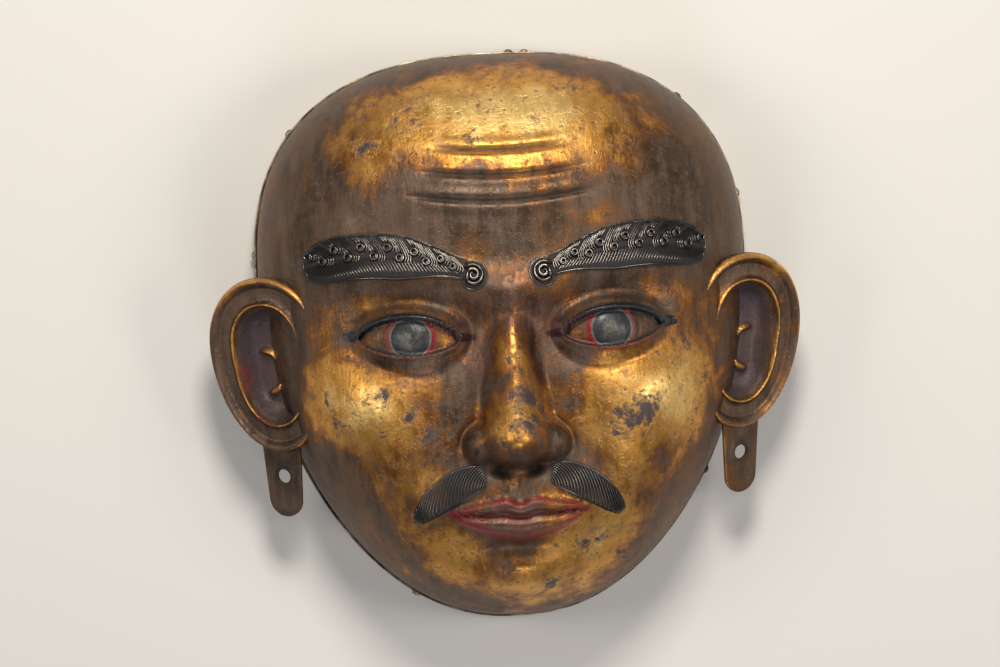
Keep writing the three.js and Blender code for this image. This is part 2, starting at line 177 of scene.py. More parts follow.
def tuftPoint(u, v):
    y, slope = tuftMiddle(u)
    return beside(tuft["start"] + tuft["reach"] * u, y, slope, v * tuftHalf(u))


def tuftHalf(u):
    return tuft["halfWidth"] * np.sqrt(np.maximum(1 - (2 * u - 0.9) ** 2 * 0.82, 0.02))


def tuftCover(side, y):
    u = (side - tuft["start"]) / tuft["reach"]
    middle, slope = tuftMiddle(clamp(u))
    off = y - middle
    u = u + slope * off / (1 + slope**2) / tuft["reach"]  # measured square to the middle line
    off = np.abs(off) / np.hypot(1, slope) / (tuftHalf(clamp(u)) * 1.06)
    return ease((u + 0.02) / 0.04) * ease((1.02 - u) / 0.06) * ease((1.04 - off) / 0.14)


softForms = [  # x from the middle, y, half sizes, rise: both sides alike
    (0, 95, 80, 52, 6),  # forehead
    (0, 30, 18, 14, 3),  # between the brows
    (142, 10, 24, 44, -5),  # temple
    (56, 3, 30, 19, -11),  # eye socket
    (31, 6, 12, 16, -5),  # its inner corner
    (92, -44, 36, 27, 8),  # cheekbone
    (66, -82, 32, 34, 7),  # cheek
    (0, -113, 54, 32, 15),  # round the mouth
    (52, -96, 12, 22, -3.5),  # fold beside the mouth
    (0, -160, 36, 20, 13),  # chin
    (0, -139, 34, 8, -6.5),  # under the lip
]


def bumps(table, x, y):
    side = np.abs(x)
    return sum(strength * bump(side, y, cx, cy, sx, sy) for cx, cy, sx, sy, strength in table)


def broadForms(x, y):
    side = np.abs(x)
    browRidge = 6.5 * bell(y - browLine(side) + 4, 14) * ease((140 - side) / 50)
    return bumps(softForms, x, y) + browRidge


# The scroll at the inner end of each brow
volute = {"x": 22.8, "up": 3.6, "radius": 7.4, "turns": 2.1}


def voluteHeight():
    return browLine(brow["archFrom"]) + volute["up"]


nose = {"wingX": 20.0, "wingY": -71.0, "wingReach": 15.5, "nostrilX": 10.5}


def wingCrease(side, y, width):
    off = np.hypot(side - nose["wingX"], y - nose["wingY"]) - nose["wingReach"]
    return bell(off, width) * ease((side - 13) / 8) * ease((y + 78) / 10)


def noseForm(x, y, ground):
    side = np.abs(x)
    down = np.minimum(clamp((32 - y) / 98) + np.maximum(0, (-66 - y) / 98), 1.4)
    ridge = 8 + 26 * down**1.15 - 2.5 * bell(down - 0.2, 0.13)
    halfWidth = 20.5 + 15 * ease(down)
    section = np.maximum(1 - (side / halfWidth) ** 2, 0) ** 1.6
    ends = ease((y + 94) / 26) * ease((66 - y) / 44)
    rise = smoothMax(ground, -16 + (ridge + 14) * section * ends, 7)
    rise = smoothMax(rise, 8 + 25 * ball(x, y, 0, -67, 23, 20), 14)
    rise = smoothMax(rise, -2 + 20 * ball(side, y, nose["wingX"] + 1.5, nose["wingY"], 15, 14.5), 6)
    rise -= 2.6 * wingCrease(side, y, 2.2)
    rise -= 8 * bump(side, y, nose["nostrilX"], -86, 6, 4)
    rise -= 2.2 * bump(x, y, 0, -98, 4.2, 9)
    return rise + bump(side, y, 7.5, -98, 3, 9)


eye = {
    "x": 66.0,
    "half": 33.0,
    "upper": 12.5,
    "lower": 10.5,
    "slant": 1.8,
    "irisX": 65.0,
    "irisY": 0.3,
    "iris": 13.5,
    "ball": 12.5,  # painted ball, silver line and red ring, by radius
    "silver": (12.3, 13.6),
    "red": (13.6, 16.8),
}


def lidCurves(side):
    s = (side - eye["x"]) / eye["half"]
    closing = np.maximum(1 - np.abs(s) ** 2.1, 0)
    slant = eye["slant"] * s
    return eye["upper"] * closing**0.75 + slant, slant - eye["lower"] * closing**0.8, s


def irisRadius(side, y):
    return np.hypot(side - eye["irisX"], y - eye["irisY"])


def eyeForm(x, y, ground):
    side = np.abs(x)
    upper, lower, s = lidCurves(side)
    lids = smoothMax(ground, -13 + 22.5 * ball(side, y, eye["x"], 0, 43, 30), 3)
    ridges = 2.6 * bell(y - upper - 1.8, 1.9) * ease((1.22 - np.abs(s)) / 0.2)
    ridges += 1.4 * bell(y - lower + 1.4, 1.5) * ease((1.02 - np.abs(s)) / 0.1)
    ridges -= 1.8 * bell(y - upper - 9.5, 1.7) * ease((1.3 - np.abs(s)) / 0.4)
    opened = ease((np.minimum(upper - y, y - lower) + 0.7) / 1.4) * (np.abs(s) < 1)
    radius = irisRadius(side, y)
    bare = -14 + 18.5 * ball(side, y, eye["x"], 0, 40, 27)
    bare = bare + 2.4 * np.maximum(1 - (radius / eye["iris"]) ** 2, 0) ** 0.55
    bare = bare + 0.9 * bell(radius - eye["iris"] - 1.6, 1.1)
    return (lids + ridges) * (1 - opened) + bare * opened


mouth = {"line": -117.0, "half": 50.0, "lowerHalf": 46.0, "upper": 12.5, "lower": 17.0}


def lipCurves(side):
    across = side / mouth["half"]
    line = mouth["line"] + 2.4 * across**2 - 1.4 * bell(side, 7.5)
    dip = 2.4 * bell(side, 5.5) - 1.0 * bell(side - 10, 6)
    top = line + mouth["upper"] * np.maximum(1 - across**1.8, 0) - dip * ease((mouth["half"] - side) / 10)
    bottom = line - mouth["lower"] * np.maximum(1 - (side / mouth["lowerHalf"]) ** 2, 0) ** 0.9
    return line, top, bottom


def lipForm(x, y):
    side = np.abs(x)
    line, top, bottom = lipCurves(side)
    up = clamp((y - line) / np.maximum(top - line, 0.5))
    down = clamp((line - y) / np.maximum(line - bottom, 0.5))
    above = (y >= line) & (y <= top)
    below = (y < line) & (y >= bottom)
    upper = 5.5 * np.sin(np.pi * up) ** 0.7 * ease((mouth["half"] - side) / 14)
    lower = 7.5 * np.sin(np.pi * down) ** 0.7 * ease((mouth["lowerHalf"] - side) / 14)
    parting = 2.6 * bell(y - line, 1.3) * ease((47 - side) / 12)
    return np.where(above, upper, 0) + np.where(below, lower, 0) - parting


# Three plain arcs on the forehead: soft folds with a groove between them, fading out at both ends
arcs = {"low": 92.0, "step": 16.5, "bow": 6.0, "reach": 70.0, "shorter": 8.0, "depth": 2.1, "swell": 1.2}


def arcFolds(x, y):
    rise, groove = 0.0, 0.0
    for i in range(3):
        line = arcs["low"] + arcs["step"] * i - arcs["bow"] * np.cos(x / 62 * np.pi / 2)
        fade = ease((arcs["reach"] - arcs["shorter"] * i - np.abs(x)) / 30)
        cut = fade * bell(y - line, 1.6)
        groove = np.maximum(groove, cut)
        swell = bell(y - line - 4.6, 3.6) + bell(y - line + 4.6, 3.6)
        rise = rise + fade * arcs["swell"] * swell - arcs["depth"] * cut
    return rise, groove


def relief(x, y):
    side = np.abs(x)
    rise = eyeForm(x, y, noseForm(x, y, broadForms(x, y))) + lipForm(x, y)
    rise += arcFolds(x, y)[0]
    rise += brow["rise"] * browCover(side, y) + tuft["rise"] * tuftCover(side, y)
    return rise


def dentAt(x, y):
    slow = np.sin(x / 31 + 0.7) * np.sin(y / 37 + 1.9) + np.sin((x + y) / 23 + 2.1) * np.sin((x - y) / 29)
    quick = np.sin(x / 7.3 + np.sin(y / 9.1)) * np.sin(y / 6.7 + 1.3)
    return 0.35 * slow + 0.05 * quick


def faceParts(theta, share, carve=relief):
    radius = share * rimRadius(theta)
    y = head["midLine"] + radius * np.sin(theta)
    x = radius * np.cos(theta) * taperAt(y)
    dome = np.maximum(1 - share ** domePower(theta), 0) ** (1 / head["domeRound"])
    carved = carve(x, y) * ease((1 - share) / head["blend"])
    return x, y, head["skirt"] + head["depth"] * dome + carved


# Height of the face in parts over a point of the plan, and the direction that it faces
def heightAt(x, y):
    plain = x / taperAt(y)
    theta = np.arctan2(y - head["midLine"], plain)
    share = np.minimum(np.hypot(plain, y - head["midLine"]) / rimRadius(theta), 1)
    return faceParts(theta, share)[2]


def facingAt(x, y):
    slopeX = heightAt(x + 0.6, y) - heightAt(x - 0.6, y)
    slopeY = heightAt(x, y + 0.6) - heightAt(x, y - 0.6)
    facing = np.stack([-slopeX, -slopeY, np.full(np.shape(x), 1.2)], axis=-1)
    return facing / np.linalg.norm(facing, axis=-1, keepdims=True)


def toMetres(points):
    return np.asarray(points) * part + np.array([0, middleY, 0])


def edgeFacing(theta):
    ahead = faceParts(theta + 0.01, np.ones_like(theta))
    behind = faceParts(theta - 0.01, np.ones_like(theta))
    along = np.stack([ahead[0] - behind[0], ahead[1] - behind[1]], axis=-1)
    length = np.linalg.norm(along, axis=-1)
    return np.stack([along[:, 1] / length, -along[:, 0] / length], axis=-1)


def edgeRing(theta, distance, level):
    x, y, _ = faceParts(theta, np.ones_like(theta))
    facing = edgeFacing(theta)
    height = np.full_like(x, level)
    return np.stack([x + facing[:, 0] * distance, y + facing[:, 1] * distance, height], axis=-1)


def newObject(name, data):
    thing = bpy.data.objects.new(name, data)
    bpy.context.scene.collection.objects.link(thing)
    return thing


def meshObject(name, points, edges=(), faces=()):
    mesh = bpy.data.meshes.new(name)
    mesh.from_pydata(np.asarray(points).tolist(), edges, faces)
    mesh.shade_smooth()
    return newObject(name, mesh)


# Closed skin over rings of points: capped at two poles, or joined from the last ring to the first
def closedMesh(name, rings, poles=None):
    rings = np.asarray(rings)
    rows, count = rings.shape[:2]
    points = rings.reshape(-1, 3)
    j = np.arange(count)
    k = (j + 1) % count
    faces = []
    for i in range(rows if poles is None else rows - 1):
        here = i * count
        following = ((i + 1) % rows) * count
        faces += np.stack([here + j, following + j, following + k, here + k], axis=-1).tolist()
    if poles is not None:
        first = len(points)
        end = (rows - 1) * count
        points = np.vstack([points, poles])
        faces += np.stack([np.full(count, first), j, k], axis=-1).tolist()
        faces += np.stack([np.full(count, first + 1), end + k, end + j], axis=-1).tolist()
    return meshObject(name, toMetres(points), faces=faces)


def keepAttribute(piece, name, values):
    layer = piece.data.attributes.new(name, "FLOAT", "POINT")
    layer.data.foreach_set("value", np.asarray(values, dtype=np.float32).ravel())


# Each name has values for the first points and one value for all the others
def keepValues(piece, values):
    for name, (first, rest) in values.items():
        others = np.full(len(piece.data.vertices) - np.size(first), rest)
        keepAttribute(piece, name, np.concatenate([np.ravel(first), others]))


# Adds, sets and links nodes, for materials and for Geometry Nodes
class Bench:
    def __init__(self, tree):
        self.nodes, self.links = tree.nodes, tree.links

    def add(self, kind, sockets=None, **settings):
        node = self.nodes.new(kind)
        for key, value in settings.items():
            setattr(node, key, value)
        for key, value in (sockets or {}).items():
            self.feed(node.inputs[key], value)
        return node

    def feed(self, socket, value):
        if isinstance(value, bpy.types.NodeSocket):
            self.links.new(value, socket)
        else:
            socket.default_value = value


class Shader(Bench):
    def __init__(self, name):
        self.material = bpy.data.materials.new(name)
        self.material.use_nodes = True
        super().__init__(self.material.node_tree)
        self.surface = self.nodes["Principled BSDF"]
        self.place = self.add("ShaderNodeTexCoord").outputs["Object"]

    def attribute(self, name):
        return self.add("ShaderNodeAttribute", attribute_name=name).outputs["Fac"]

    def math(self, operation, a, b, clamped=False):
        return self.add("ShaderNodeMath", {0: a, 1: b}, operation=operation, use_clamp=clamped).outputs[0]

    def times(self, a, b):
        return self.math("MULTIPLY", a, b)

    def plus(self, a, b, clamped=False):
        return self.math("ADD", a, b, clamped)

    def minus(self, a, b, clamped=False):
        return self.math("SUBTRACT", a, b, clamped)

    def vary(self, value, noise, amount):
        return self.plus(value, self.times(self.minus(noise, 0.5), amount))

    def step(self, value, low, high, to=1.0, start=0.0):
        sockets = {0: value, 1: low, 2: high, 3: start, 4: to}
        return self.add("ShaderNodeMapRange", sockets, interpolation_type="SMOOTHSTEP").outputs[0]

    def noise(self, scale, detail=4.0, rough=0.55, stretch=None, warp=0.0):
        place = self.place
        if stretch:
            place = self.add("ShaderNodeMapping", {0: place, 3: stretch}).outputs[0]
        sockets = {"Vector": place, "Scale": scale, "Detail": detail, "Roughness": rough, "Distortion": warp}
        return self.add("ShaderNodeTexNoise", sockets).outputs[0]

    def blend(self, amount, a, b):
        return self.add("ShaderNodeMix", {0: amount, 6: a, 7: b}, data_type="RGBA").outputs[2]

    def number(self, amount, a, b):
        return self.add("ShaderNodeMix", {0: amount, 2: a, 3: b}, data_type="FLOAT").outputs[0]

    def dress(self, colour, rough, metal, height=None, distance=0.0, strength=1.0):
        values = {"Base Color": colour, "Roughness": rough, "Metallic": metal}
        if height is not None:
            bump = {"Height": height, "Distance": distance, "Strength": strength}
            values["Normal"] = self.add("ShaderNodeBump", bump).outputs[0]
        for name, value in values.items():
            self.feed(self.surface.inputs[name], value)
        return self.material


finish = {
    "darkPatina": (0.07, 0.047, 0.033, 1),
    "greyPatina": (0.2, 0.136, 0.098, 1),
    "warmBronze": (0.2, 0.095, 0.04, 1),
    "amber": (0.27, 0.1, 0.022, 1),
    "gold": (0.66, 0.33, 0.07, 1),
    "brightGold": (0.98, 0.64, 0.22, 1),
    "tarnish": (0.075, 0.062, 0.062, 1),
    # painted shade, laid into creases and hollows
    "paintedShade": (0.017, 0.012, 0.009, 1),
    "black": (0.012, 0.013, 0.016, 1),
    "red": (0.19, 0.005, 0.007, 1),
    "iris": (0.03, 0.033, 0.037, 1),
    # painted sheen with wear on the pupil's dome
    "irisSheenAndWear": (0.22, 0.2, 0.165, 1),
    "ring": (0.13, 0.12, 0.115, 1),
}


# Worn gilding over dark bronze: gold where the attribute is high, broken up by rubbing, pits and tarnish,
# with painted shade, near black, in creases and hollows
def gildedLayers(shader, gold, cavityShade, flakes):
    noise, step, blend, plus, times = shader.noise, shader.step, shader.blend, shader.plus, shader.times
    large = noise(8.0, 5.0, 0.6, warp=0.4)
    medium = noise(34.0, 7.0, 0.66, warp=0.5)
    brushed = noise(70.0, 5.0, 0.62, stretch=(1.6, 0.3, 1.0))
    grain = noise(300.0, 4.0, 0.7)
    scratches = noise(240.0, 3.0, 0.6, stretch=(2.4, 0.22, 1.0), warp=0.6)
    patina = blend(step(brushed, 0.22, 0.82), finish["darkPatina"], finish["greyPatina"])
    patina = blend(step(medium, 0.35, 0.7, to=0.45), patina, finish["darkPatina"])
    warm = times(step(large, 0.4, 0.6), step(medium, 0.42, 0.6, to=0.85))
    patina = blend(warm, patina, finish["warmBronze"])
    patina = blend(step(scratches, 0.54, 0.72, to=0.35), patina, finish["warmBronze"])
    broken = shader.vary(shader.vary(shader.vary(gold, large, 1.2), medium, 1.5), brushed, 0.7)
    amount = step(broken, 0.2, 0.56)
    leaf = blend(step(broken, 0.36, 0.86), finish["amber"], finish["gold"])
    leaf = blend(step(broken, 0.9, 1.4), leaf, finish["brightGold"])
    pits = step(noise(260.0, 3.0, 0.6), 0.56, 0.68)
    blots = plus(noise(46.0, 8.0, 0.76, warp=0.3), times(flakes, 0.1))
    blots = step(blots, 0.54, 0.66)
    veil = step(noise(80.0, 7.0, 0.74), 0.44, 0.7, to=0.6)
    worn = shader.math("MAXIMUM", shader.math("MAXIMUM", times(pits, 0.7), blots), veil)
    leaf = blend(worn, leaf, finish["tarnish"])
    colour = blend(amount, patina, leaf)
    # Painted shade: near black, duller and less metallic, where the cavity shade attribute is high
    paintedShade = step(shader.vary(cavityShade, medium, 0.5), 0.2, 0.95, to=0.9)
    colour = blend(paintedShade, colour, finish["paintedShade"])
    rough = plus(shader.number(amount, 0.46, 0.37), times(worn, 0.16))
    rough = plus(shader.vary(rough, brushed, 0.25), times(paintedShade, 0.25))
    metal = shader.number(paintedShade, shader.number(worn, 0.92, 0.6), 0.3)
    height = times(grain, 0.3)
    for layer, share in ((amount, 0.3), (brushed, 0.6), (scratches, 0.35), (worn, -0.6)):
        height = plus(height, times(layer, share))
    return colour, rough, metal, height


grainBump = {"distance": 0.0006, "strength": 0.7}  # of the fine grain on face and ears


def faceMaterial():
    shader = Shader("gildedFace")
    noise, step, blend, number, times = shader.noise, shader.step, shader.blend, shader.number, shader.times
    gold, cavityShade, flakes = (shader.attribute(name) for name in ("gold", "cavityShade", "flakes"))
    colour, rough, metal, height = gildedLayers(shader, gold, cavityShade, flakes)
    wornPaint = noise(70.0, 6.0, 0.65)
    chips = step(wornPaint, 0.62, 0.7)
    radius, opened = shader.attribute("irisRadius"), shader.attribute("eyeOpen")

    def stroke(name, width, strength):
        return step(shader.attribute(name), width - 0.25, width + 0.25, to=0.0, start=strength)

    def ringMask(low, high):
        inside = step(radius, high - 0.3, high + 0.3, to=0.0, start=1.0)
        beyond = step(radius, low - 0.3, low + 0.3)
        return times(times(inside, beyond), opened)

    lips = shader.plus(shader.attribute("lip"), step(wornPaint, 0.35, 0.7, to=-0.45), True)
    lips = times(lips, step(shader.attribute("lipWithin"), -0.5, 0.7, to=0.95))
    wear = times(shader.attribute("ringWear"), step(wornPaint, 0.3, 0.6))
    paints = [  # where, colour, roughness, how much of it chips off
        (times(shader.attribute("brow"), 0.94), "black", 0.7, 0.3),
        (lips, "red", 0.36, 0.6),
        (stroke("redBelow", 0.75, 0.85), "red", 0.4, 1.1),
        (stroke("redAbove", 0.7, 0.8), "red", 0.4, 0.9),
        (stroke("lowerLine", 0.9, 0.9), "black", 0.4, 0.3),
        (stroke("upperLine", 2.8, 1.0), "black", 0.24, 0.35),
        (shader.minus(ringMask(*eye["red"]), wear, True), "red", 0.36, 0.7),
        (ringMask(*eye["silver"]), "ring", 0.35, 0.3),
    ]
    for mask, tint, tintRough, chipped in paints:
        kept = shader.minus(mask, times(chips, chipped), True)
        colour = blend(kept, colour, finish[tint])
        rough = number(kept, rough, tintRough)
        metal = number(kept, metal, 0.1)
    ballMask = ringMask(-1.0, eye["ball"])
    # painted sheen with wear: lighter grey mottled over the middle of the pupil's dome
    sheenCentre = step(radius, 1.0, 11.0, to=0.0, start=1.0)
    cloud = step(noise(60.0, 5.0, 0.6), 0.4, 0.62)
    ballColour = blend(times(sheenCentre, cloud), finish["iris"], finish["irisSheenAndWear"])
    colour = blend(ballMask, colour, ballColour)
    rough = number(ballMask, rough, 0.34)
    metal = number(ballMask, metal, 0.25)
    return shader.dress(colour, rough, metal, height, **grainBump)


# The sheet: face, head, skirt and a smooth inside
def ringShares(count):
    turned = round(count * 0.22)
    even = 0.9 * (np.arange(count - turned) + 1) / (count - turned)
    closing = 1 - 0.1 * (1 - (np.arange(turned) + 1) / turned) ** 2
    return np.concatenate([even, closing])


goldPatches = [  # x from the middle, y, half sizes, strength
    (0, 150, 78, 26, 0.95),
    (44, 130, 36, 16, 0.45),
    (0, 108, 60, 14, 0.3),
    (96, 128, 26, 30, 0.4),
    (90, -44, 40, 30, 0.95),
    (120, -30, 22, 44, 0.35),
    (66, -98, 30, 34, 0.45),
    (0, -58, 24, 20, 0.9),
    (0, -20, 15, 28, 0.5),
    (0, -170, 60, 18, 0.75),
    (50, -142, 30, 22, 0.6),
    (70, 24, 36, 6, 0.3),
    (45, -3, 7, 6, 0.35),
    (86, 1, 6, 6, 0.15),
    (18, -104, 8, 8, 0.3),
    (66, 0, 34, 13, -0.25),
    (0, -124, 40, 16, -0.2),
]


flakePatches = [(0, -48, 20, 30, 1.0), (66, -60, 26, 26, 0.6), (0, -168, 46, 18, 0.4)]
# Painted shade in hollows: beside the nose wings, in the nostrils, at the inner eye corners, under the lip,
# beside the mouth and between the brows
shadePatches = [
    (29, -86, 9, 7, 0.9),
    (nose["nostrilX"], -88, 8, 5, 1.1),
    (30, 8, 9, 14, 0.55),
    (0, -139, 30, 6, 0.45),
    (44, -92, 8, 22, 0.35),
    (0, 34, 16, 12, 0.3),
]


def goldAt(x, y, share):
    amount = 0.2 + bumps(goldPatches, x, y)
    amount -= 0.35 * bump(x, y, 106, 128, 40, 44)  # the mask's own left temple is browner
    return amount - 0.35 * ease((share - 0.78) / 0.2)


# Painted shade: how dark the forehead grooves, the lips' parting, the lid creases, the eye's edges and the
# nose wings' creases are painted
def cavityShadeAt(x, y):
    side = np.abs(x)
    upper, lower, s = lidCurves(side)
    deep = 0.9 * arcFolds(x, y)[1] + bumps(shadePatches, x, y)
    deep += bell(y - lipCurves(side)[0], 1.6) * ease((mouth["half"] - side) / 8)
    deep += 0.8 * bell(y - upper - 9.5, 2.0) * ease((1.3 - np.abs(s)) / 0.4)
    deep += 0.8 * bell(np.minimum(upper - y, y - lower), 1.6) * (np.abs(s) < 1)
    return np.clip(deep + 0.6 * wingCrease(side, y, 2.6), 0, 1.3)


# Lowest carving near a point, without the crisp lines: the inside follows it
def insideForm(x, y):
    lowest = noseForm(x, y, broadForms(x, y))
    for reach in (3, 6):
        for angle in np.arange(8) * math.pi / 4:
            lowest = np.minimum(lowest, relief(x + reach * math.cos(angle), y + reach * math.sin(angle)))
    return lowest


def faceValues(x, y, shares):
    side = np.abs(x)
    upper, lower, s = lidCurves(side)
    far = 9.0
    upperLine = np.abs(y - upper - 1.2) + 6 * np.maximum(np.abs(s) - 1.12, 0)
    upperLine = np.where(np.abs(s) < 1.32, upperLine, far)
    upperLine = upperLine * (1 - 0.25 * clamp(s))  # the line is broader towards the temple
    lowerLine = np.abs(y - lower + 0.4) + 20 * np.maximum(np.abs(s) - 1.05, 0)
    redBelow = np.abs(y - lower + 2.2) + 6 * np.maximum(-s - 0.25, 0) + 20 * np.maximum(s - 1.0, 0)
    redAbove = np.abs(y - upper + 0.5) + 20 * np.maximum(np.abs(s) - 0.98, 0)
    line, lipTop, lipBottom = lipCurves(side)
    lipWithin = np.minimum(np.minimum(lipTop - y, y - lipBottom), mouth["half"] - 1 - side)
    lipEdge = bell(y - lipBottom - 2.5, 3.2) * (y < line) + bell(y - lipTop + 1.2, 1.8) * (y > line)
    radius = irisRadius(side, y)
    inward = (eye["irisX"] - side) / np.maximum(radius, 1)
    scroll = 0.85 * ease((10.5 - np.hypot(side - volute["x"], y - voluteHeight())) / 2)
    return {
        "gold": (goldAt(x, y, shares), 0.0),
        # painted shade in creases and hollows; the skirt and the inside get a middle amount of it
        "cavityShade": (cavityShadeAt(x, y), 0.5),
        "flakes": (bumps(flakePatches, x, y), 0.0),
        "brow": (np.maximum(np.maximum(browCover(side, y), scroll), tuftCover(side, y) * 0.9), 0.0),
        "upperLine": (np.clip(upperLine, 0, far), far),
        "lowerLine": (np.clip(lowerLine, 0, far), far),
        "redBelow": (np.clip(redBelow, 0, far), far),
        "redAbove": (np.clip(redAbove, 0, far), far),
        "ringWear": (0.35 - 0.5 * inward, 0.0),
        "lip": (np.clip(0.3 + lipEdge + 0.5 * bell(y - line, 2.5), 0, 1), 0.0),
        "lipWithin": (np.clip(lipWithin, -8, 8), -8.0),
        "irisRadius": (np.minimum(radius, 60), 60.0),
        "eyeOpen": (ease((np.minimum(upper - y, y - lower) + 0.3) / 0.8) * (np.abs(s) < 1), 0.0),
    }


def shellPiece():
    theta = np.linspace(0, 2 * np.pi, head["around"], endpoint=False)
    grid, shares = np.meshgrid(theta, ringShares(head["rings"]))
    x, y, z = faceParts(grid, shares)
    outside = np.stack([x, y, z + dentAt(x, y) * ease((1 - shares) / head["blend"])], axis=-1)
    skirt = [edgeRing(theta, 0, level) for level in (10.0, 4.0, 0.6)]
    edge = [edgeRing(theta, -0.5, 0), edgeRing(theta, -head["wall"] + 0.5, 0)]
    edge += [edgeRing(theta, -head["wall"], level) for level in (0.6, 8.0, head["skirt"])]
    inside = []
    drop = head["wall"] + head["innerGap"]
    middle = head["midLine"]
    for share in ringShares(head["innerRings"])[::-1][1:]:
        ix, iy, iz = faceParts(theta, np.full_like(theta, share), insideForm)
        shrink = 1 - drop / (headParts["width"] / 2) * share**6
        iz = iz - drop * (1 - share**10)
        inside.append(np.stack([ix * shrink, middle + (iy - middle) * shrink, iz], axis=-1))
    top, low = (faceParts(np.zeros(1), np.zeros(1), carve)[2][0] for carve in (relief, insideForm))
    poles = [[0, middle, top + dentAt(0.0, middle)], [0, middle, low - drop]]
    piece = closedMesh("bronzeFace", np.concatenate([outside, skirt, edge, inside]), poles)
    keepValues(piece, faceValues(x, y, shares))
    piece.data.materials.append(faceMaterial())
    return piece


face = shellPiece()
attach(face, "root")
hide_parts("mask_shell")
print("face built:", len(face.data.polygons), "faces")


# Geometry Nodes: tubes along guide lines, for strands of hair
def nodeGroup(name, inputs):
    group = bpy.data.node_groups.new(name, "GeometryNodeTree")
    group.interface.new_socket("Geometry", in_out="INPUT", socket_type="NodeSocketGeometry")
    group.interface.new_socket("Geometry", in_out="OUTPUT", socket_type="NodeSocketGeometry")
    for label, kind, value in inputs:
        group.interface.new_socket(label, in_out="INPUT", socket_type=kind).default_value = value
    bench = Bench(group)
    return group, bench, bench.add("NodeGroupInput").outputs


def endGroup(bench, geometry, material):
    real = bench.add("GeometryNodeRealizeInstances", {"Geometry": geometry}).outputs["Geometry"]
    paint = bench.add("GeometryNodeSetMaterial", {"Geometry": real, "Material": material})
    bench.add("NodeGroupOutput", {"Geometry": paint.outputs["Geometry"]})


def strandTree(material):
    inputs = [("Strand Width", "NodeSocketFloat", 1.0), ("Sides", "NodeSocketInt", 6)]
    group, bench, start = nodeGroup("strandTubes", inputs)
    curve = bench.add("GeometryNodeMeshToCurve", {"Mesh": start["Geometry"]})
    kept = bench.add("GeometryNodeInputNamedAttribute", {"Name": "strandRadius"}, data_type="FLOAT")
    sockets = {0: kept.outputs["Attribute"], 1: start["Strand Width"]}
    width = bench.add("ShaderNodeMath", sockets, operation="MULTIPLY").outputs[0]
    line = bench.add("GeometryNodeSetCurveRadius", {"Curve": curve.outputs["Curve"], "Radius": width})
    section = bench.add("GeometryNodeCurvePrimitiveCircle", {"Resolution": start["Sides"], "Radius": 1.0})
    sockets = {"Curve": line.outputs["Curve"], "Profile Curve": section.outputs["Curve"], "Scale": width}
    tube = bench.add("GeometryNodeCurveToMesh", {**sockets, "Fill Caps": True})
    smooth = bench.add("GeometryNodeSetShadeSmooth", {"Geometry": tube.outputs["Mesh"]})
    endGroup(bench, smooth.outputs["Geometry"], material)
    return group


# Runs a group on a piece with the given inputs, then keeps the plain mesh
def settle(piece, group, inputs):
    modifier = piece.modifiers.new(group.name, "NODES")
    modifier.node_group = group
    for socket in group.interface.items_tree:
        if socket.in_out == "INPUT" and socket.name in inputs:
            modifier[socket.identifier] = inputs[socket.name]
    graph = bpy.context.evaluated_depsgraph_get()
    mesh = bpy.data.meshes.new_from_object(piece.evaluated_get(graph))
    piece.modifiers.clear()
    piece.data = mesh


# Guide lines lie on the face: each is an array of x, y and lift in parts, with a radius for each point
def strandPiece(name, lines, group):
    points, edges, radii = [], [], []
    for line in lines:
        start = len(points)
        x, y, lift, radius = (np.asarray(v, dtype=float) for v in line)
        base = np.stack([x, y, heightAt(x, y)], axis=-1) + facingAt(x, y) * lift[:, None]
        points += toMetres(base).tolist()
        radii += (radius * part).tolist()
        edges += [(start + i, start + i + 1) for i in range(len(x) - 1)]
    piece = meshObject(name, points, edges)
    keepAttribute(piece, "strandRadius", radii)
    settle(piece, group, {"Strand Width": 1.0})
    return piece


def hairMaterial():
    shader = Shader("blackHair")
    noise, step, blend, number = shader.noise, shader.step, shader.blend, shader.number
    # Strand tops facing up towards the lamps are painted light grey metal, worn paint with a painted
    # highlight; the sides stay black
    upward = shader.add("ShaderNodeTexCoord").outputs["Normal"]
    lift = shader.add("ShaderNodeSeparateXYZ", {0: upward}).outputs[2]
    wornAndLitTops = shader.vary(step(lift, 0.76, 0.99), noise(45.0, 5.0, 0.6), 1.2)
    wornAndLitTops = step(wornAndLitTops, 0.4, 1.1, to=0.85)
    dark = blend(noise(120.0, 4.0), (0.008, 0.0075, 0.0075, 1), (0.024, 0.022, 0.021, 1))
    colour = blend(wornAndLitTops, dark, (0.24, 0.212, 0.185, 1))
    rough, metal = number(wornAndLitTops, 0.31, 0.27), number(wornAndLitTops, 0.25, 0.85)
    return shader.dress(colour, rough, metal, noise(400.0, 3.0), 0.0003, 0.5)


hair = {
    "locks": 12,
    "strandsInLock": 4,
    "strandGap": 1.45,
    "topEnd": 0.96,  # heights in the brow, from -1 to 1
    "upperRow": 0.44,
    "lowerRow": 0.02,
    "lean": 0.09,
    "strandRadius": 0.68,
    "curlRadius": 2.5,
    "curlTurns": 1.25,
    "curlThick": 0.85,
    "curlLift": 1.5,
    "fineLines": 46,
    "fineRadius": 0.55,
    "tuftStrands": 25,
    "tuftSlant": 0.34,  # share of the tuft's length that a strand covers on its way down
    "tuftRadius": 0.68,
}


def taperEnds(t, radius, tip=0.35):
    return radius * (tip + (1 - tip) * np.minimum(1, np.minimum(t, 1 - t) * 6))


